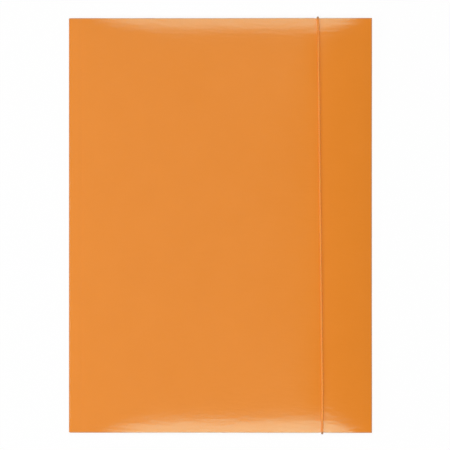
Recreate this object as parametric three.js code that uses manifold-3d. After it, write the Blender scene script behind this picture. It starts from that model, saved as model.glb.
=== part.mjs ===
// A closed three-flap elastic folder of lacquered card, lying on its back cover.
// Millimetres. +X runs from the spine to the free edge, +Y to the top edge, +Z up through the
// front cover. The origin is on the table, under the middle of the folder.
import * as THREE from "three";
import { mergeGeometries, mergeVertices } from "three/addons/utils/BufferGeometryUtils.js";
import Module from "manifold-3d";

const { lerp, smoothstep, degToRad } = THREE.MathUtils;

// Covers, from outside edge to outside edge
const FOLDER_WIDTH = 234;
const FOLDER_HEIGHT = 320;
const CARD_THICKNESS = 0.45;

// Layers, from the table up: back cover, end flaps, side flap, front cover
const LAYER_GAP = 0.35;
const FOLD_INSIDE_RADIUS = 0.375;

// How the covers bow away from the back cover between their edges
const CROWN_HEIGHT = 3.6;
const SPINE_RUN = 95;
const FREE_RUN = 60;
const END_RUN = 85;
const SIDE_CURL = 2.4;
const END_CURL = 3.4;

// Flaps
const END_FLAP_DEPTH = 95;
const SIDE_FLAP_DEPTH = 100;
const FLAP_CORNER_INSET = 5;
const FLAP_END_SLANT = degToRad(6);

// Punched holes in the back cover
const HOLE_CLEARANCE = 0.95;
const HOLE_FROM_FREE_EDGE = 42;
const HOLE_FROM_END = 15;

// Elastic cord: how far towards the free edge it has drifted from its holes on the front cover,
// and how far its ends are drawn back towards them over the last stretch before each edge
const CORD_DIAMETER = 1.6;
const CORD_GAP = 0.3;
const CORD_DRIFT_TOP = 1.5;
const CORD_DRIFT_BOTTOM = 3.7;
const CORD_PULL_TOP = 1.1;
const CORD_PULL_BOTTOM = 0.3;
const CORD_PULL_FROM = 14;
const CORD_PULL_TO = 6;

// Metal barbs on the cord's ends
const BARB_LENGTH = 11;
const BARB_WIDTH = 2.2;
const BARB_THICKNESS = 1;

// How far from the cord's under-runs the back cover is raised off the table by them
const LIFT_RUN = 85;
const LIFT_MARGIN = 6;

// How finely the sheet and the cord are divided
const STATIONS_ACROSS = 14;
const STATIONS_ALONG = 18;
const BEND_STEPS = 6;
const FLAP_STEPS = 6;
const CORD_STEPS = 40;
const CORD_SIDES = 8;
const HOLE_SIDES = 20;

const LACQUERED_CARD = { color: 0xe58c3d, roughness: 0.35, metalness: 0 };
const COVERED_ELASTIC = { color: 0xe8903c, roughness: 0.8, metalness: 0 };
const BARB_METAL = { color: 0xb9bbbd, roughness: 0.35, metalness: 1 };

// Places that follow from the sizes above
const HALF_WIDTH = FOLDER_WIDTH / 2;
const HALF_HEIGHT = FOLDER_HEIGHT / 2;
const HALF_CARD = CARD_THICKNESS / 2;
const LAYER_STEP = CARD_THICKNESS + LAYER_GAP;
const END_FOLD_RADIUS = FOLD_INSIDE_RADIUS + HALF_CARD;
const SIDE_FOLD_RADIUS = END_FOLD_RADIUS + LAYER_STEP / 2;
const SPINE_FOLD_RADIUS = SIDE_FOLD_RADIUS + LAYER_STEP / 2;
const END_FOLD_Y = HALF_HEIGHT - END_FOLD_RADIUS - HALF_CARD;
const SIDE_FOLD_X = HALF_WIDTH - SIDE_FOLD_RADIUS - HALF_CARD;
const SPINE_FOLD_X = -HALF_WIDTH + SPINE_FOLD_RADIUS + HALF_CARD;
const FLAP_MARGIN = SIDE_FOLD_RADIUS + HALF_CARD;
const CORD_RADIUS = CORD_DIAMETER / 2;
const CORD_LIFT = CORD_DIAMETER + CORD_GAP;
const CORD_BEND_RADIUS = CORD_RADIUS + CORD_GAP + CARD_THICKNESS;
const HOLE_RADIUS = CORD_RADIUS + HOLE_CLEARANCE;
const HOLE_X = HALF_WIDTH - HOLE_FROM_FREE_EDGE;
const HOLE_Y = HALF_HEIGHT - HOLE_FROM_END;

const wasm = await Module();
wasm.setup();

// The shape that the covers share

// Climbs from 0 at an edge to 1 at the end of the run, steepest at the edge.
function rise(distance, run, curl) {
  const left = 1 - THREE.MathUtils.clamp(distance / run, 0, 1);
  return 1 - left ** curl;
}

// How far a bowed layer stands above its level height; the margin is its own edge's setback.
function crown(x, y, margin) {
  const fromSpine = rise(x - SPINE_FOLD_X, SPINE_RUN, SIDE_CURL);
  const fromFree = rise(HALF_WIDTH - margin - x, FREE_RUN, SIDE_CURL);
  const fromEnd = rise(HALF_HEIGHT - margin - Math.abs(y), END_RUN, END_CURL);
  return CROWN_HEIGHT * fromSpine * fromFree * fromEnd;
}

// How far the whole stack is raised where the cord passes beneath it.
function lift(x, y) {
  const fullX = HOLE_X - LIFT_MARGIN;
  const fullY = HOLE_Y - LIFT_MARGIN;
  const across = smoothstep(x, fullX - LIFT_RUN, fullX);
  const along = smoothstep(Math.abs(y), fullY - LIFT_RUN, fullY);
  return CORD_LIFT * across * along;
}

// Middle of the back cover's thickness, and of a bowed layer that its fold has raised so far.
function backHeight(x, y) {
  return HALF_CARD + lift(x, y);
}

function bowedHeight(x, y, raised, margin) {
  return backHeight(x, y) + raised + crown(x, y, margin);
}

function frontTop(x, y) {
  return bowedHeight(x, y, 2 * SPINE_FOLD_RADIUS, 0) + HALF_CARD;
}

// Surfaces

// Stations from one value to another, closer together near both ends.
function stations(from, to, count) {
  return Array.from({ length: count + 1 }, (_, i) => {
    return lerp(from, to, (1 - Math.cos((Math.PI * i) / count)) / 2);
  });
}

// A grid of points; it faces along columns cross rows, or the other way when flipped.
function patch(rows, columns, flipped, place) {
  const points = rows.flatMap((row) => columns.map((column) => place(row, column)));
  const index = [];
  for (let i = 0; i < rows.length - 1; i++) {
    for (let j = 0; j < columns.length - 1; j++) {
      const a = i * columns.length + j;
      const b = a + 1;
      const c = a + columns.length;
      const d = c + 1;
      if (flipped) index.push(a, d, b, a, c, d);
      else index.push(a, b, d, a, d, c);
    }
  }
  return new THREE.BufferGeometry().setFromPoints(points).setIndex(index);
}

// The path of a panel folded back over the sheet: round the bend, then inward to its depth.
// Each step says how far it lies outside the fold line, how far it is raised, how far round
// the bend it is and how deep into the flap.
function foldPath(radius, depths) {
  const bend = Array.from({ length: BEND_STEPS + 1 }, (_, i) => {
    const turned = i / BEND_STEPS;
    const angle = Math.PI * turned;
    return { out: radius * Math.sin(angle), raised: radius * (1 - Math.cos(angle)), turned, depth: 0 };
  });
  const flat = depths.map((depth) => ({ out: -depth, raised: 2 * radius, turned: 1, depth }));
  return [...bend, ...flat];
}

// Keeps a flap's slanted ends: a point across the flap moves towards its middle with depth.
function slanted(across, middle, halfLength, depth) {
  return middle + (across - middle) * (1 - (depth * Math.tan(FLAP_END_SLANT)) / halfLength);
}

function flapDepths(depth) {
  return stations(0, depth, FLAP_STEPS).slice(1);
}

// Turns a sheet's middle surface into a closed solid of the card's thickness.
function thickened(surface) {
  surface.computeVertexNormals();
  const middle = surface.getAttribute("position");
  const normals = surface.getAttribute("normal");
  const count = middle.count;
  const points = [1, -1].flatMap((side) => {
    return Array.from({ length: count }, (_, i) => {
      const facing = new THREE.Vector3().fromBufferAttribute(normals, i);
      return new THREE.Vector3().fromBufferAttribute(middle, i).addScaledVector(facing, side * HALF_CARD);
    });
  });
  const outer = surface.index.array;
  const index = [];
  const open = new Map();
  for (let i = 0; i < outer.length; i += 3) {
    const corners = [outer[i], outer[i + 1], outer[i + 2]];
    index.push(...corners, corners[2] + count, corners[1] + count, corners[0] + count);
    corners.forEach((a, k) => {
      const b = corners[(k + 1) % 3];
      if (!open.delete(`${b} ${a}`)) open.set(`${a} ${b}`, [a, b]);
    });
  }
  for (const [a, b] of open.values()) {
    index.push(b, a, a + count, b, a + count, b + count);
  }
  return new THREE.BufferGeometry().setFromPoints(points).setIndex(index);
}

function toSolid(geometry) {
  const bare = geometry.clone();
  bare.deleteAttribute("normal");
  bare.deleteAttribute("uv");
  const merged = mergeVertices(bare, 1e-4);
  const vertProperties = merged.getAttribute("position").array;
  const triVerts = new Uint32Array(merged.index.array);
  return new wasm.Manifold(new wasm.Mesh({ numProp: 3, vertProperties, triVerts }));
}

function toGeometry(solid) {
  const { vertProperties, triVerts } = solid.getMesh();
  const geometry = new THREE.BufferGeometry();
  geometry.setAttribute("position", new THREE.BufferAttribute(vertProperties, 3));
  geometry.setIndex(new THREE.BufferAttribute(triVerts, 1));
  geometry.computeVertexNormals();
  return geometry;
}

// The folded card

function cardSurface() {
  const flapLeft = -HALF_WIDTH + SPINE_FOLD_RADIUS + FLAP_CORNER_INSET;
  const flapRight = SIDE_FOLD_X - FLAP_CORNER_INSET;
  const flapMiddle = (flapLeft + flapRight) / 2;
  const flapHalf = (flapRight - flapLeft) / 2;
  const sideHalf = END_FOLD_Y - FLAP_CORNER_INSET;
  const flapXs = stations(flapLeft, flapRight, STATIONS_ACROSS);
  const flapYs = stations(-sideHalf, sideHalf, STATIONS_ALONG);
  const xs = [SPINE_FOLD_X, ...flapXs, SIDE_FOLD_X];
  const ys = [-END_FOLD_Y, ...flapYs, END_FOLD_Y];

  const back = patch(ys, xs, true, (y, x) => {
    return new THREE.Vector3(x, y, backHeight(x, y));
  });

  const endFlaps = [1, -1].map((end) => {
    const path = foldPath(END_FOLD_RADIUS, flapDepths(END_FLAP_DEPTH));
    return patch(path, flapXs, end > 0, (step, across) => {
      const x = slanted(across, flapMiddle, flapHalf, step.depth);
      const y = end * (END_FOLD_Y + step.out);
      return new THREE.Vector3(x, y, bowedHeight(x, y, step.raised, FLAP_MARGIN));
    });
  });

  const sideFlap = patch(
    foldPath(SIDE_FOLD_RADIUS, flapDepths(SIDE_FLAP_DEPTH)),
    flapYs,
    false,
    (step, across) => {
      const x = SIDE_FOLD_X + step.out;
      const y = slanted(across, 0, sideHalf, step.depth);
      return new THREE.Vector3(x, y, bowedHeight(x, y, step.raised, FLAP_MARGIN));
    },
  );

  // The front cover is a little taller than the back one between its folds.
  const coverDepths = [...flapXs, HALF_WIDTH].map((x) => x - SPINE_FOLD_X);
  const front = patch(foldPath(SPINE_FOLD_RADIUS, coverDepths), ys, true, (step, across) => {
    const x = SPINE_FOLD_X - step.out;
    const y = across * lerp(1, HALF_HEIGHT / END_FOLD_Y, step.turned);
    return new THREE.Vector3(x, y, bowedHeight(x, y, step.raised, 0));
  });

  return mergeVertices(mergeGeometries([back, ...endFlaps, sideFlap, front]), 1e-4);
}

// A cylinder through the back cover alone: it stops inside the gap below the end flap.
function holeCutter(end) {
  const length = CARD_THICKNESS + 2 * END_FOLD_RADIUS;
  const cutter = new THREE.CylinderGeometry(HOLE_RADIUS, HOLE_RADIUS, length, HOLE_SIDES);
  cutter.rotateX(Math.PI / 2);
  cutter.translate(HOLE_X, end * HOLE_Y, CORD_LIFT + HALF_CARD);
  return toSolid(cutter);
}

function folderCard() {
  const unpunched = toSolid(thickened(cardSurface()));
  return toGeometry(unpunched.subtract(holeCutter(1)).subtract(holeCutter(-1)));
}

// The elastic cord

// Where the cord lies across the folder: nearly straight, drawn towards its holes at the ends.
function cordX(y) {
  const drift = lerp(CORD_DRIFT_BOTTOM, CORD_DRIFT_TOP, (y + HALF_HEIGHT) / FOLDER_HEIGHT);
  const pull = y > 0 ? CORD_PULL_TOP : CORD_PULL_BOTTOM;
  const pulled = smoothstep(Math.abs(y), HALF_HEIGHT - CORD_PULL_FROM, HALF_HEIGHT - CORD_PULL_TO);
  return HOLE_X + drift - pull * pulled;
}

// A quarter turn in the plane of the folder's edge, from one angle to another.
function quarter(centre, radius, from, to) {
  return Array.from({ length: BEND_STEPS + 1 }, (_, i) => {
    const angle = lerp(from, to, i / BEND_STEPS);
    return { y: centre.y + radius * Math.cos(angle), z: centre.z + radius * Math.sin(angle) };
  });
}

// From the edge of the front cover round one end of the folder and up into its hole, where the
// cord stops level with the inside of the back cover.
function cordEnd(end) {
  const edgeX = cordX(end * HALF_HEIGHT);
  const turn = CORD_RADIUS + CORD_GAP;
  const overEdge = { y: HALF_HEIGHT, z: frontTop(edgeX, end * HALF_HEIGHT) };
  const underEdge = { y: HALF_HEIGHT, z: CORD_LIFT };
  const intoHole = { y: HOLE_Y + CORD_BEND_RADIUS, z: CORD_RADIUS + CORD_BEND_RADIUS };
  const route = [
    ...quarter(overEdge, turn, Math.PI / 2, 0),
    ...quarter(underEdge, turn, 0, -Math.PI / 2),
    ...quarter(intoHole, CORD_BEND_RADIUS, -Math.PI / 2, -Math.PI),
  ];
  return route.map(({ y, z }) => {
    const underneath = THREE.MathUtils.clamp((HALF_HEIGHT - y) / HOLE_FROM_END, 0, 1);
    return new THREE.Vector3(lerp(edgeX, HOLE_X, underneath), end * y, z);
  });
}

function elasticCord() {
  const along = stations(-HALF_HEIGHT, HALF_HEIGHT, CORD_STEPS).slice(1, -1);
  const onCover = along.map((y) => {
    const x = cordX(y);
    return new THREE.Vector3(x, y, frontTop(x, y) + CORD_GAP + CORD_RADIUS);
  });
  const route = [...cordEnd(-1).reverse(), ...onCover, ...cordEnd(1)];
  const centreLine = new THREE.CatmullRomCurve3(route, false, "centripetal");
  centreLine.getUtoTmapping = (share) => share; // one section at each point of the route
  const section = Array.from({ length: CORD_SIDES }, (_, i) => {
    const angle = (2 * Math.PI * (i + 0.5)) / CORD_SIDES;
    return new THREE.Vector2(CORD_RADIUS * Math.cos(angle), CORD_RADIUS * Math.sin(angle));
  });
  return new THREE.ExtrudeGeometry(new THREE.Shape(section), {
    steps: route.length - 1,
    extrudePath: centreLine,
  });
}

// The barbs: a strip of metal rolled flat round the cord's end, with rounded tips

function barb() {
  const tip = BARB_THICKNESS / 4;
  const section = new THREE.Shape();
  section.absellipse(0, 0, BARB_WIDTH / 2 - tip, BARB_THICKNESS / 2 - tip, 0, 2 * Math.PI);
  const bar = new THREE.ExtrudeGeometry(section, {
    depth: BARB_LENGTH - 2 * tip,
    curveSegments: 8,
    bevelSize: tip,
    bevelThickness: tip,
    bevelSegments: 2,
  });
  bar.translate(0, 0, tip - BARB_LENGTH / 2);
  return bar.rotateY(Math.PI / 2).rotateX(Math.PI / 2);
}

function piece(name, geometry, finish) {
  const mesh = new THREE.Mesh(geometry, new THREE.MeshStandardMaterial(finish));
  mesh.name = name;
  return mesh;
}

function placedBarb(name, end) {
  const mesh = piece(name, barb(), BARB_METAL);
  mesh.position.set(HOLE_X, end * HOLE_Y, CORD_LIFT + CARD_THICKNESS + CORD_GAP + BARB_THICKNESS / 2);
  return mesh;
}

const folder = new THREE.Group();
folder.add(
  piece("folder_card", folderCard(), LACQUERED_CARD),
  piece("elastic_cord", elasticCord(), COVERED_ELASTIC),
  placedBarb("cord_barb_top", 1),
  placedBarb("cord_barb_bottom", -1),
);

export default folder;
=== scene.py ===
"""A closed A4 elastic folder of lacquered orange card, lying on its back and seen from above."""

import math

import bpy
import numpy as np
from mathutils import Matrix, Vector


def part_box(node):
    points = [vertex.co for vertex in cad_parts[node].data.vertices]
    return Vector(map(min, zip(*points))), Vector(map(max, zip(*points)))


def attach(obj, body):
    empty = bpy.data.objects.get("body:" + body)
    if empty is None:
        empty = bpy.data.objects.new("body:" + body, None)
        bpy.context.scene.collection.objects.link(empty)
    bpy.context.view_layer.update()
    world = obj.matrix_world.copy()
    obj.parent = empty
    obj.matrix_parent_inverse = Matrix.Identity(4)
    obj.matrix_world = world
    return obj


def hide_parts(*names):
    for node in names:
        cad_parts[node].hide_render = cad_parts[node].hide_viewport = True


MM = 0.001

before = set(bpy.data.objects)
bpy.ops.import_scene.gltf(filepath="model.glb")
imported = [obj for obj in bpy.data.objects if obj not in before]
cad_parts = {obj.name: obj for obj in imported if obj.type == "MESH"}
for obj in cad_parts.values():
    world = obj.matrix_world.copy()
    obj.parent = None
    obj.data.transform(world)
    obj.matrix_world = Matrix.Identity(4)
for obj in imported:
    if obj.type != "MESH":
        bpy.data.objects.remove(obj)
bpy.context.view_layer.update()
card_low, card_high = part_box("folder_card")
barb_low, barb_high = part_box("cord_barb_top")

# The card sheet, as in the solids
HALF_WIDTH = round((card_high.x - card_low.x) / 2 / MM) * MM
HALF_HEIGHT = round((card_high.y - card_low.y) / 2 / MM) * MM
CARD = 0.45 * MM
LAYER_GAP = 0.35 * MM
LAYER_STEP = CARD + LAYER_GAP
END_FOLD = 0.6 * MM
SIDE_FOLD = END_FOLD + LAYER_STEP / 2
SPINE_FOLD = SIDE_FOLD + LAYER_STEP / 2
END_FOLD_Y = HALF_HEIGHT - END_FOLD - CARD / 2
SIDE_FOLD_X = HALF_WIDTH - SIDE_FOLD - CARD / 2
SPINE_FOLD_X = -HALF_WIDTH + SPINE_FOLD + CARD / 2
FLAP_MARGIN = SIDE_FOLD + CARD / 2
END_FLAP_DEPTH = 95 * MM
SIDE_FLAP_DEPTH = 100 * MM
FLAP_CORNER_INSET = 5 * MM
FLAP_END_SLANT = math.radians(6)
FLAP_LEFT = -HALF_WIDTH + SPINE_FOLD + FLAP_CORNER_INSET
FLAP_RIGHT = SIDE_FOLD_X - FLAP_CORNER_INSET
SIDE_FLAP_HALF = END_FOLD_Y - FLAP_CORNER_INSET

# How the covers bow
CROWN_HEIGHT = 3.6 * MM
SPINE_RUN = 95 * MM
FREE_RUN = 60 * MM
END_RUN = 85 * MM
SIDE_CURL = 3.2
END_CURL = 4.5
CORNER_SWELL = 0.24 * CROWN_HEIGHT
CORNER_CURL = 2
CORNER_RISE = 14 * MM
CORNER_FALL = 65 * MM

# Marks in the sheet: the scored line, the cord's press and notches, the rolled free edge
CREASE_X = -HALF_WIDTH + 10 * MM
CREASE_DEPTH = 0.05 * MM
CREASE_WIDTH = 0.7 * MM
PRESS_DEPTH = 0.22 * MM
PRESS_WIDTH = 5 * MM
PRESS_REACH = 60 * MM
NOTCH_DEPTH = 0.35 * MM
NOTCH_WIDTH = 2.2 * MM
NOTCH_REACH = 3 * MM
EDGE_ROLL = 0.26 * MM
EDGE_ROLL_RUN = 1 * MM
EDGE_ROLL_SHARES = np.array([1, 0.6, 0.35, 0.12])

# The cord and its holes
CORD_RADIUS = 0.8 * MM
CORD_LIFT = 1.9 * MM
HOLE_X = (barb_low.x + barb_high.x) / 2
HOLE_Y = (barb_low.y + barb_high.y) / 2
HOLE_RADIUS = 1.75 * MM
LIFT_RUN = 85 * MM
LIFT_MARGIN = 6 * MM
CORD_DRIFT_TOP = 0.3 * MM
CORD_DRIFT_BOTTOM = 3.95 * MM
CORD_PULL_TOP = 0.1 * MM
CORD_PULL_BOTTOM = 0.35 * MM
CORD_PULL_FROM = 14 * MM
CORD_PULL_TO = 4 * MM
CORD_SEAT = 0.8 * CORD_RADIUS
OVERHANG = 0.5 * MM
TURN_GAP = 0.4 * MM
PRESSED_FLAT = 0.84
PRESSED_WIDE = 1.06
BRAID_PITCH = 3.2 * MM
BRAID_STARTS = 4
BRAID_DEPTH = 0.09

# How finely the meshes are divided
WELD_DIGITS = 7
END_EASING = 0.13
FOLD_STEPS = 12
CREASE_COLUMNS = 9
COVER_COLUMNS = 80
COVER_ROWS = 112
END_FLAP_ROWS = 32
SIDE_FLAP_COLUMNS = 34
HOLE_SIDES = 40
CORD_STEP = 0.12 * MM
CORD_SIDES = 24
OVER_POINTS = 400
QUARTER_POINTS = 17
CARD_SHARP = math.radians(35)
CORD_SHARP = math.radians(60)

# Colours from 0 to 255, in pairs where a surface shifts between two
VARNISH = ((230, 132, 32), (232, 134, 35))
# A greyer colour painted along the front cover's rim as shade at its edges.
SHADED_RIM_COLOUR = (178, 146, 122)
BARE_BOARD = ((222, 217, 207), (236, 233, 226))
CUT_EDGE = ((214, 198, 172), (232, 222, 205))
YARN = ((226, 136, 22), (234, 144, 32))
# A darker colour painted on the cord as shade where it turns over the ends.
SHADED_YARN_COLOUR = (150, 112, 80)
METAL = ((170, 172, 174), (198, 200, 202))

# Gloss, relief, and the painted shade along the cover's rim and on the cord's turns
VARNISH_ROUGHNESS = (0.15, 0.19)
VARNISH_TINT = (0.54, 1, 0.8, 1)
METAL_ROUGHNESS = (0.25, 0.45)
RIPPLE_HEIGHT = 0.1 * MM
GRAIN_HEIGHT = 0.01 * MM
FIBRE_HEIGHT = 0.03 * MM
# The width, patchy strength and facing of the painted shade along the rim.
RIM_SHADE_WIDTH = 1 * MM
RIM_SHADE_STRENGTH = (0.55, 0.9)
RIM_SHADE_FACING = (0.35, 0.85)
# Where the painted shade on the cord's turns begins and ends, and which faces it darkens.
CORD_SHADE_FROM = HALF_HEIGHT - 1.5 * MM
CORD_SHADE_TO = HALF_HEIGHT + 0.3 * MM
CORD_SHADE_FACING = (-0.1, 0.5)

# Surroundings, with the floor's size and the camera's distance in metres
ROOM_LIGHT = 0.16
FLOOR_GLOW = 0.95
FLOOR_PAINT = (0.9, 0.9, 0.9, 1)
FLOOR_SIZE = 8
FLOOR_DROP = 0.02 * MM
CAMERA_DISTANCE = 2.0
SENSOR_WIDTH = 36

# The photograph's frame
PHOTO_PIXELS = 450
MM_PER_PIXEL = 0.7715
PHOTO_CENTRE_X = 3.58 * MM
PHOTO_CENTRE_Y = 0.33 * MM


# Shape of the closed folder


def rise(distance, run, curl):
    """Climbs from 0 at an edge to 1 at the end of the run, steepest at the edge."""
    return 1 - (1 - np.clip(distance / run, 0, 1)) ** curl


def smooth(value, low, high):
    """Climbs from 0 at low to 1 at high, level at both."""
    share = np.clip((value - low) / (high - low), 0, 1)
    return share * share * (3 - 2 * share)


def bell(distance, width):
    """1 at no distance, and almost 0 from two widths on."""
    return np.exp(-((distance / width) ** 2))


def crown(x, y, margin):
    """How far a bowed layer stands above its level height."""
    from_spine = rise(x - SPINE_FOLD_X, SPINE_RUN, SIDE_CURL)
    from_free = rise(HALF_WIDTH - margin - x, FREE_RUN, SIDE_CURL)
    from_end = rise(HALF_HEIGHT - margin - np.abs(y), END_RUN, END_CURL)
    return CROWN_HEIGHT * from_spine * from_free * from_end


def lift(x, y):
    """How far the stack is raised where the cord passes beneath it."""
    full_x = HOLE_X - LIFT_MARGIN
    full_y = HOLE_Y - LIFT_MARGIN
    across = smooth(x, full_x - LIFT_RUN, full_x)
    along = smooth(np.abs(y), full_y - LIFT_RUN, full_y)
    return CORD_LIFT * across * along


def layer_middle(x, y, raised, margin):
    """Height of the middle of a bowed layer of card."""
    return CARD / 2 + raised + lift(x, y) + crown(x, y, margin)


def cord_x(y):
    """Where the cord lies across the folder."""
    share = (y + HALF_HEIGHT) / (2 * HALF_HEIGHT)
    drift = CORD_DRIFT_BOTTOM + (CORD_DRIFT_TOP - CORD_DRIFT_BOTTOM) * share
    pull = np.where(y > 0, CORD_PULL_TOP, CORD_PULL_BOTTOM)
    pulled = smooth(np.abs(y), HALF_HEIGHT - CORD_PULL_FROM, HALF_HEIGHT - CORD_PULL_TO)
    return HOLE_X + drift - pull * pulled


def corner_swell(x, y):
    """Near the top corners the cover stays fuller than its bow alone has it."""
    along = rise(HALF_HEIGHT - np.abs(y), END_RUN, END_CURL)
    swell = 0
    for distance in (x - SPINE_FOLD_X, HALF_WIDTH - x):
        fall = smooth(distance, CORNER_RISE, CORNER_FALL)
        swell = swell + rise(distance, CORNER_RISE, CORNER_CURL) * (1 - fall)
    return CORNER_SWELL * swell * along * (1 - along) * smooth(y, 0, HALF_HEIGHT / 2)


def edge_roll(x):
    """How far the cover's free edge is rolled over."""
    return EDGE_ROLL * (1 - np.clip((HALF_WIDTH - x) / EDGE_ROLL_RUN, 0, 1)) ** 2


def front_relief(x, y):
    """What the front cover adds to its bow, such as the scored line and the cord's press."""
    crease = CREASE_DEPTH * bell(x - CREASE_X, CREASE_WIDTH)
    near_end = smooth(np.abs(y), HALF_HEIGHT - PRESS_REACH, HALF_HEIGHT)
    press = PRESS_DEPTH * near_end * bell(x - cord_x(y), PRESS_WIDTH)
    return corner_swell(x, y) - crease - press - edge_roll(x)


def front_top(x, y):
    """Height of the front cover's upper face."""
    return layer_middle(x, y, 2 * SPINE_FOLD, 0) + front_relief(x, y) + CARD / 2


# Meshes


def stations(low, high, count, extra=()):
    """Positions from low to high, closer together near both ends."""
    even = np.linspace(0, 1, count + 1)
    eased = even - END_EASING * np.sin(2 * math.pi * even)
    return np.unique(np.round(np.concatenate([low + (high - low) * eased, extra]), WELD_DIGITS))


def quads_from(*corners):
    """Quads from the vertex numbers at each of their four corners."""
    return np.stack([c.ravel() for c in corners], axis=1)


def grid(points, flipped):
    """Vertices and quads of a grid of points, rows first."""
    rows, columns = points.shape[:2]
    number = np.arange(rows * columns).reshape(rows, columns)
    quads = quads_from(number[:-1, :-1], number[:-1, 1:], number[1:, 1:], number[1:, :-1])
    return points.reshape(-1, 3), quads[:, ::-1] if flipped else quads


def join_grids(grids):
    """One set of vertices and faces, with the grids' shared edges welded."""
    vertices, faces, start = [], [], 0
    for points, quads in grids:
        vertices.append(points)
        faces.append(quads + start)
        start += len(points)
    points = np.concatenate(vertices)
    rounded = np.round(points, WELD_DIGITS)
    _, first, place = np.unique(rounded, axis=0, return_index=True, return_inverse=True)
    return points[first], place.reshape(-1)[np.concatenate(faces)]


def placed(name, data):
    """A new object in the scene."""
    made = bpy.data.objects.new(name, data)
    bpy.context.scene.collection.objects.link(made)
    return made


def mesh_object(name, points, faces, materials):
    mesh = bpy.data.meshes.new(name)
    mesh.from_pydata([tuple(p) for p in points], [], [tuple(f) for f in faces])
    for material in materials:
        mesh.materials.append(material)
    mesh.update()
    return placed(name, mesh)


def apply_modifiers(piece):
    depsgraph = bpy.context.evaluated_depsgraph_get()
    final = bpy.data.meshes.new_from_object(piece.evaluated_get(depsgraph))
    piece.modifiers.clear()
    piece.data = final


def shade(piece, sharp_angle):
    """Shades a piece smooth, but for edges sharper than the angle."""
    piece.data.shade_smooth()
    piece.data.set_sharp_from_angle(angle=sharp_angle)


# Materials


def shader(name):
    """A new material, with its node tree and its surface shader."""
    material = bpy.data.materials.new(name)
    material.use_nodes = True
    return material, material.node_tree, material.node_tree.nodes["Principled BSDF"]


def fill(node, values):
    """Sets a node's inputs by their names."""
    for name, value in values.items():
        node.inputs[name].default_value = value


def add(tree, kind, **settings):
    """A new node, with settings that are its own or those of its inputs."""
    node = tree.nodes.new(kind)
    for key, value in settings.items():
        if hasattr(node, key):
            setattr(node, key, value)
        else:
            fill(node, {key: value})
    return node


def position(tree, stretch=(1, 1, 1)):
    """Object position, stretched, as texture coordinates in metres."""
    coordinates = add(tree, "ShaderNodeTexCoord")
    mapping = add(tree, "ShaderNodeMapping", Scale=stretch)
    tree.links.new(coordinates.outputs["Object"], mapping.inputs["Vector"])
    return mapping.outputs["Vector"]


def noise(tree, scale, stretch=(1, 1, 1), detail=3.0, roughness=0.5):
    """Noise with about so many swells a metre, drawn out along axes scaled below 1."""
    node = add(tree, "ShaderNodeTexNoise", Scale=scale, Detail=detail, Roughness=roughness)
    tree.links.new(position(tree, stretch), node.inputs["Vector"])
    return node.outputs["Fac"]


def ranged(tree, value, low, high, start=0.25, stop=0.75):
    """Maps a value to a range, by default from the span that a noise has."""
    node = add(tree, "ShaderNodeMapRange")
    fill(node, {"From Min": start, "From Max": stop, "To Min": low, "To Max": high})
    tree.links.new(value, node.inputs["Value"])
    return node.outputs["Result"]


def srgb(red, green, blue):
    """A colour given as 0 to 255, as linear values."""
    shares = [c / 255 for c in (red, green, blue)]
    return tuple(s / 12.92 if s <= 0.04045 else ((s + 0.055) / 1.055) ** 2.4 for s in shares)


def blended(tree, share, first, second):
    """Mixes two colours, of which the first may come from another node."""
    node = add(tree, "ShaderNodeMix", data_type="RGBA")
    if isinstance(first, tuple):
        node.inputs["A"].default_value = (*srgb(*first), 1)
    else:
        tree.links.new(first, node.inputs["A"])
    node.inputs["B"].default_value = (*srgb(*second), 1)
    tree.links.new(share, node.inputs["Factor"])
    return node.outputs["Result"]


def two_toned(tree, value, tones):
    """Shifts between two colours with a noise."""
    return blended(tree, ranged(tree, value, 0, 1), *tones)


def combined(tree, operation, first, second):
    """Joins two values by one operation, such as MULTIPLY."""
    node = add(tree, "ShaderNodeMath", operation=operation)
    tree.links.new(first, node.inputs[0])
    tree.links.new(second, node.inputs[1])
    return node.outputs[0]


def near_edge(tree, axis, start, edge):
    """Climbs from 0 to 1 between two distances from the folder's middle, along X or Y."""
    parts = add(tree, "ShaderNodeSeparateXYZ")
    distance = add(tree, "ShaderNodeMath", operation="ABSOLUTE")
    tree.links.new(position(tree), parts.inputs[0])
    tree.links.new(parts.outputs[axis], distance.inputs[0])
    return ranged(tree, distance.outputs[0], 0, 1, start, edge)


def facing_up(tree, start, stop):
    """Climbs from 0 to 1 as the surface turns from facing sideways to facing up."""
    parts = add(tree, "ShaderNodeSeparateXYZ")
    tree.links.new(add(tree, "ShaderNodeNewGeometry").outputs["Normal"], parts.inputs[0])
    return ranged(tree, parts.outputs["Z"], 0, 1, start, stop)


def bumped(tree, relief, height, strength, under=None):
    """A normal for fine relief, on top of another one where that is given."""
    node = add(tree, "ShaderNodeBump", Distance=height, Strength=strength)
    tree.links.new(relief, node.inputs["Height"])
    if under is not None:
        tree.links.new(under, node.inputs["Normal"])
    return node.outputs["Normal"]


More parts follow.
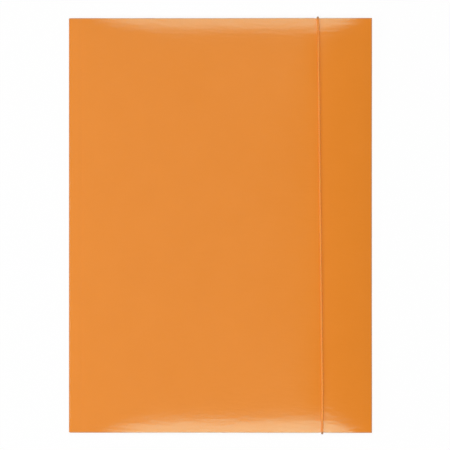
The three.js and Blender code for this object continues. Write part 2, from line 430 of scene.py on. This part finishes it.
def lacquer_material():
    """Orange varnish over pressed board: faint mottling, ripples in the gloss, and a greyer line
    painted along the rim as shade.
    """
    material, tree, principled = shader("lacquered_card")
    mottled = two_toned(tree, noise(tree, 45, detail=4), VARNISH)
    # Painted shade: a greyer line along the rim, of patchy strength, only on faces that look up.
    sides = near_edge(tree, "X", HALF_WIDTH - RIM_SHADE_WIDTH, HALF_WIDTH)
    ends = near_edge(tree, "Y", HALF_HEIGHT - RIM_SHADE_WIDTH, HALF_HEIGHT)
    shade_strength = ranged(tree, noise(tree, 150), *RIM_SHADE_STRENGTH)
    upward_shade = combined(tree, "MULTIPLY", facing_up(tree, *RIM_SHADE_FACING), shade_strength)
    rim_shade_mask = combined(tree, "MULTIPLY", combined(tree, "MAXIMUM", sides, ends), upward_shade)
    tree.links.new(blended(tree, rim_shade_mask, mottled, SHADED_RIM_COLOUR), principled.inputs["Base Color"])
    gloss = noise(tree, 220, stretch=(0.35, 1, 1))
    tree.links.new(ranged(tree, gloss, *VARNISH_ROUGHNESS), principled.inputs["Roughness"])
    ripple = noise(tree, 380, stretch=(0.3, 1, 1), detail=2)
    grain = noise(tree, 900, stretch=(0.5, 1, 1), detail=2)
    rippled = bumped(tree, ripple, RIPPLE_HEIGHT, 1.0)
    grained = bumped(tree, grain, GRAIN_HEIGHT, 0.8, under=rippled)
    tree.links.new(grained, principled.inputs["Normal"])
    fill(principled, {"IOR": 1.5, "Specular IOR Level": 0.25, "Specular Tint": VARNISH_TINT})
    return material


def board_material(name, tones, scale):
    """Bare board: pale pressed fibres with a few darker flecks."""
    material, tree, principled = shader(name)
    fibres = noise(tree, scale, stretch=(1, 0.45, 1), detail=6, roughness=0.65)
    tree.links.new(two_toned(tree, fibres, tones), principled.inputs["Base Color"])
    tree.links.new(bumped(tree, fibres, FIBRE_HEIGHT, 0.5), principled.inputs["Normal"])
    fill(principled, {"Roughness": 0.9})
    return material


def elastic_material():
    """Braided yarn over rubber: shifts of tone between strands, and painted shade where it turns
    over the ends.
    """
    material, tree, principled = shader("covered_elastic")
    strands = two_toned(tree, noise(tree, 900), YARN)
    # Painted shade: the cord is darkened where it turns over the ends.
    turn = near_edge(tree, "Y", CORD_SHADE_FROM, CORD_SHADE_TO)
    cord_turn_shade = combined(tree, "MULTIPLY", turn, facing_up(tree, *CORD_SHADE_FACING))
    tree.links.new(blended(tree, cord_turn_shade, strands, SHADED_YARN_COLOUR), principled.inputs["Base Color"])
    fuzz = noise(tree, 6000, detail=2)
    tree.links.new(bumped(tree, fuzz, FIBRE_HEIGHT, 0.5), principled.inputs["Normal"])
    fill(principled, {"Roughness": 0.5, "Sheen Weight": 0.08, "Sheen Roughness": 0.4})
    fill(principled, {"Subsurface Weight": 0.6, "Subsurface Scale": 0.9 * MM})
    fill(principled, {"Subsurface Radius": (1, 0.5, 0.3)})
    return material


def barb_material():
    """Drawn metal with fine scratches along the barbs."""
    material, tree, principled = shader("barb_metal")
    scratches = noise(tree, 3000, stretch=(0.1, 1, 1), detail=2)
    tree.links.new(ranged(tree, scratches, *METAL_ROUGHNESS), principled.inputs["Roughness"])
    tree.links.new(two_toned(tree, scratches, METAL), principled.inputs["Base Color"])
    fill(principled, {"Metallic": 1})
    return material


# The card


def fold_path(radius, depths):
    """Steps round a bend and on over the sheet, in four columns.

    They say how far a step lies outside the fold line, how far it is raised, how much of the
    bend it has turned, and how deep on the sheet it is."""
    bend = [
        (radius * math.sin(math.pi * t), radius * (1 - math.cos(math.pi * t)), t, 0.0)
        for t in np.linspace(0, 1, FOLD_STEPS + 1)
    ]
    onward = [(-depth, 2 * radius, 1.0, depth) for depth in depths]
    return np.hsplit(np.array(bend + onward), 4)


def back_grid(xs, ys):
    """The back cover, flat but where the cord raises it."""
    x, y = np.meshgrid(xs, ys)
    return grid(np.stack([x, y, CARD / 2 + lift(x, y)], axis=2), True)


def end_flap_grid(end, xs):
    """The flap at the top, where end is 1, or at the bottom, where it is -1, with its fold."""
    out, raised, _, depth = fold_path(END_FOLD, stations(0, END_FLAP_DEPTH, END_FLAP_ROWS)[1:])
    middle = (FLAP_LEFT + FLAP_RIGHT) / 2
    half = (FLAP_RIGHT - FLAP_LEFT) / 2
    narrowed = 1 - depth * math.tan(FLAP_END_SLANT) / half
    x = middle + (xs[None, :] - middle) * narrowed
    y = np.broadcast_to(end * (END_FOLD_Y + out), x.shape)
    z = layer_middle(x, y, raised, FLAP_MARGIN)
    return grid(np.stack([x, y, z], axis=2), end > 0)


def side_flap_grid(ys):
    """The flap at the free edge, with its fold."""
    depths = stations(0, SIDE_FLAP_DEPTH, SIDE_FLAP_COLUMNS)[1:]
    out, raised, _, depth = fold_path(SIDE_FOLD, depths)
    y = ys[None, :] * (1 - depth * math.tan(FLAP_END_SLANT) / SIDE_FLAP_HALF)
    x = np.broadcast_to(SIDE_FOLD_X + out, y.shape)
    z = layer_middle(x, y, raised, FLAP_MARGIN)
    return grid(np.stack([x, y, z], axis=2), False)


def front_grid(xs, ys):
    """The spine and the front cover, which is a little taller than the spine."""
    free_edge = HALF_WIDTH - EDGE_ROLL_RUN * EDGE_ROLL_SHARES
    depths = np.append(xs[1:-1], free_edge) - SPINE_FOLD_X
    out, raised, turned, _ = fold_path(SPINE_FOLD, depths)
    y = ys[None, :] * (1 + (HALF_HEIGHT / END_FOLD_Y - 1) * turned)
    x = np.broadcast_to(SPINE_FOLD_X - out, y.shape)
    z = layer_middle(x, y, raised, 0) + front_relief(x, y) * turned
    return grid(np.stack([x, y, z], axis=2), True)


def notched(points):
    """The sheet's edges, pressed in a little where the taut cord turns over them."""
    x, y = points[:, 0], points[:, 1]
    across = bell(x - cord_x(np.sign(y) * HALF_HEIGHT), NOTCH_WIDTH)
    along = bell(HALF_HEIGHT - np.abs(y), NOTCH_REACH)
    moved = points.copy()
    moved[:, 1] = y - np.sign(y) * NOTCH_DEPTH * across * along
    return moved


def card_surface():
    """The middle surface of the folded sheet, facing out through its lacquered side."""
    crease = CREASE_X + CREASE_WIDTH * np.linspace(-2, 2, CREASE_COLUMNS)
    flap_xs = stations(FLAP_LEFT, FLAP_RIGHT, COVER_COLUMNS, crease)
    flap_ys = stations(-SIDE_FLAP_HALF, SIDE_FLAP_HALF, COVER_ROWS)
    beside_spine = [SPINE_FOLD_X, (SPINE_FOLD_X + FLAP_LEFT) / 2]
    xs = np.concatenate([beside_spine, flap_xs, [SIDE_FOLD_X]])
    ys = np.concatenate([[-END_FOLD_Y], flap_ys, [END_FOLD_Y]])
    end_flaps = [end_flap_grid(end, flap_xs) for end in (1, -1)]
    grids = [back_grid(xs, ys), *end_flaps, side_flap_grid(flap_ys), front_grid(xs, ys)]
    points, faces = join_grids(grids)
    return notched(points), faces


def thicken(card):
    """Gives the sheet its thickness, bare board inside and a cut edge all round."""
    thick = card.modifiers.new("thickness", "SOLIDIFY")
    thick.thickness = CARD
    thick.offset = 0
    thick.use_even_offset = True
    thick.material_offset = 1
    thick.material_offset_rim = 2
    apply_modifiers(card)


def punch_holes(card):
    """The two holes in the back cover that the cord goes in through."""
    for end in (1, -1):
        bpy.ops.mesh.primitive_cylinder_add(
            vertices=HOLE_SIDES,
            radius=HOLE_RADIUS,
            depth=2 * END_FOLD,
            location=(HOLE_X, end * HOLE_Y, CORD_LIFT + CARD / 2),
        )
        punch = bpy.context.object
        cut = card.modifiers.new("hole", "BOOLEAN")
        cut.operation = "DIFFERENCE"
        cut.solver = "EXACT"
        cut.object = punch
        apply_modifiers(card)
        bpy.data.objects.remove(punch)


def make_card():
    lacquer = lacquer_material()
    inside = board_material("bare_board", BARE_BOARD, scale=1200)
    cut_edge = board_material("cut_edge", CUT_EDGE, scale=3000)
    card = mesh_object("lacquered_card_sheet", *card_surface(), (lacquer, inside, cut_edge))
    thicken(card)
    punch_holes(card)
    shade(card, CARD_SHARP)
    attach(card, "root")
    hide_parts("folder_card")


# The cord


def quarter(centre_y, centre_z, radius, start, stop):
    """Points on a bend of the cord, as pairs of y and z."""
    angles = np.linspace(start, stop, QUARTER_POINTS)
    y = centre_y + radius * np.cos(angles)
    z = centre_z + radius * np.sin(angles)
    return np.stack([y, z], axis=1)


def cord_end(end):
    """From the front cover's edge round one end of the folder and up into the hole."""
    edge_y = np.array(end * HALF_HEIGHT)
    edge_x = cord_x(edge_y)
    over_y = HALF_HEIGHT + OVERHANG - CORD_RADIUS
    bend = CORD_LIFT + CARD - CORD_RADIUS
    right = math.pi / 2
    route = np.concatenate(
        [
            quarter(over_y, front_top(edge_x, edge_y), CORD_RADIUS, right, 0),
            quarter(over_y, 2 * CORD_RADIUS, CORD_RADIUS, 0, -right),
            quarter(HOLE_Y + bend, CORD_RADIUS + bend, bend, -right, -2 * right),
        ]
    )
    back_in = np.clip((HALF_HEIGHT - route[:, 0]) / (HALF_HEIGHT - HOLE_Y), 0, 1)
    x = edge_x + (HOLE_X - edge_x) * back_in
    return np.stack([x, end * route[:, 0], route[:, 1]], axis=1)


def cord_route():
    """The cord's middle line in even steps, with the length run at each."""
    reach = HALF_HEIGHT + OVERHANG - CORD_RADIUS - TURN_GAP
    y = np.linspace(-reach, reach, OVER_POINTS)
    x = cord_x(y)
    over = np.stack([x, y, front_top(x, y) + CORD_SEAT], axis=1)
    rough = np.concatenate([cord_end(-1)[::-1], over, cord_end(1)])
    lengths = np.append(0, np.cumsum(np.linalg.norm(np.diff(rough, axis=0), axis=1)))
    even = np.linspace(0, lengths[-1], int(lengths[-1] / CORD_STEP))
    return np.stack([np.interp(even, lengths, rough[:, i]) for i in range(3)], axis=1), even


def unit(vectors):
    return vectors / np.linalg.norm(vectors, axis=1, keepdims=True)


def cord_surface():
    """Rings round the cord's middle line that follow its braid, with both ends closed."""
    centre, along = cord_route()
    tangent = unit(np.gradient(centre, axis=0))
    side = unit(np.cross(tangent, np.array([1.0, 0.0, 0.0])))
    across = np.cross(side, tangent)
    angle = np.linspace(0, 2 * math.pi, CORD_SIDES, endpoint=False)[None, :]
    turn = 2 * math.pi * along[:, None] / BRAID_PITCH
    one_way = np.cos(BRAID_STARTS * angle + turn)
    other_way = np.cos(BRAID_STARTS * angle - turn)
    radius = CORD_RADIUS * (1 - BRAID_DEPTH + BRAID_DEPTH * np.maximum(one_way, other_way))
    outward = (PRESSED_FLAT * radius * np.cos(angle))[..., None] * side[:, None, :]
    sideways = (PRESSED_WIDE * radius * np.sin(angle))[..., None] * across[:, None, :]
    rings = centre[:, None, :] + outward + sideways
    number = np.arange(radius.size).reshape(radius.shape)
    ahead = np.roll(number, -1, axis=1)
    quads = quads_from(number[:-1], number[1:], ahead[1:], ahead[:-1])
    return rings.reshape(-1, 3), [*quads, number[0], number[-1][::-1]]


def make_cord():
    cord = mesh_object("braided_elastic_cord", *cord_surface(), (elastic_material(),))
    shade(cord, CORD_SHARP)
    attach(cord, "root")
    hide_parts("elastic_cord")


def dress_barbs():
    """Shows the barbs as the solids have them, in metal."""
    metal = barb_material()
    for name in ("cord_barb_top", "cord_barb_bottom"):
        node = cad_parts[name]
        node.data.materials.clear()
        node.data.materials.append(metal)


# Surroundings


def background_rays(tree):
    """1 for the rays that show the background: straight to the camera, or by gloss or glass."""
    path = add(tree, "ShaderNodeLightPath")
    shown = combined(tree, "MAXIMUM", path.outputs["Is Camera Ray"], path.outputs["Is Glossy Ray"])
    return combined(tree, "MAXIMUM", shown, path.outputs["Is Transmission Ray"])


def floor_material():
    """Pale paint that glows white to the rays that show the background."""
    material, tree, principled = shader("floor_white")
    fill(principled, {"Base Color": FLOOR_PAINT, "Roughness": 0.8})
    glow = add(tree, "ShaderNodeEmission", Strength=1.0)
    seen = add(tree, "ShaderNodeMath", operation="MULTIPLY")
    seen.inputs[1].default_value = FLOOR_GLOW
    mix = add(tree, "ShaderNodeMixShader")
    tree.links.new(background_rays(tree), seen.inputs[0])
    tree.links.new(seen.outputs[0], mix.inputs[0])
    tree.links.new(principled.outputs[0], mix.inputs[1])
    tree.links.new(glow.outputs[0], mix.inputs[2])
    tree.links.new(mix.outputs[0], tree.nodes["Material Output"].inputs["Surface"])
    return material


def make_floor():
    """A pale floor that the camera sees as white, with a trace of the folder's shadow."""
    half = FLOOR_SIZE / 2
    corners = [(-half, -half, 0), (half, -half, 0), (half, half, 0), (-half, half, 0)]
    floor = mesh_object("floor", corners, [(0, 1, 2, 3)], (floor_material(),))
    floor.location.z = -FLOOR_DROP


def area_light(name, shape, place, size, power, aim=None, turn=0):
    """A soft lamp turned towards its aim, or straight down where it has none."""
    data = bpy.data.lights.new(name, "AREA")
    data.shape = shape
    data.size, data.size_y = size
    data.energy = power
    lamp = placed(name, data)
    lamp.location = place
    towards = Vector(aim or (place[0], place[1], 0)) - Vector(place)
    lamp.rotation_euler = towards.to_track_quat("-Z", "Y").to_euler()
    lamp.rotation_euler.z += math.radians(turn)


def make_lights():
    """Soft lamps from the left and above, and one past each end that the bowed ends reflect."""
    middle = (0, 0, 0)
    square = (0.8, 0.8)
    area_light("key_left", "RECTANGLE", (-1.65, -0.3, 1.05), square, power=13, aim=middle)
    area_light("fill_right", "RECTANGLE", (1.5, 0, 0.7), square, power=2.2, aim=middle)
    area_light("panel_above", "RECTANGLE", (-0.61, 0, 2.3), (1.5, 1.6), power=10.2)
    area_light("box_top", "ELLIPSE", (0.06, 0.855, 1.45), (0.76, 0.4), power=7.9, turn=2)
    area_light("box_bottom", "ELLIPSE", (0.08, -0.82, 1.45), (0.68, 0.4), power=9.4)


def make_world():
    """A white surround, whose light on the folder is that of a dim room."""
    world = bpy.data.worlds.new("studio")
    bpy.context.scene.world = world
    world.use_nodes = True
    tree = world.node_tree
    background = tree.nodes["Background"]
    fill(background, {"Color": (1, 1, 1, 1)})
    strength = ranged(tree, background_rays(tree), ROOM_LIGHT, 1, start=0, stop=1)
    tree.links.new(strength, background.inputs["Strength"])


def make_camera():
    """Looks straight down, and frames the folder as the photograph does."""
    data = bpy.data.cameras.new("camera")
    data.sensor_width = SENSOR_WIDTH
    data.lens = SENSOR_WIDTH * CAMERA_DISTANCE / (PHOTO_PIXELS * MM_PER_PIXEL * MM)
    camera = placed("camera", data)
    camera.location = (PHOTO_CENTRE_X, PHOTO_CENTRE_Y, CAMERA_DISTANCE + card_high.z / 2)
    bpy.context.scene.camera = camera


bpy.context.scene.view_settings.view_transform = "Standard"
make_camera()
make_card()
make_cord()
dress_barbs()
make_floor()
make_lights()
make_world()
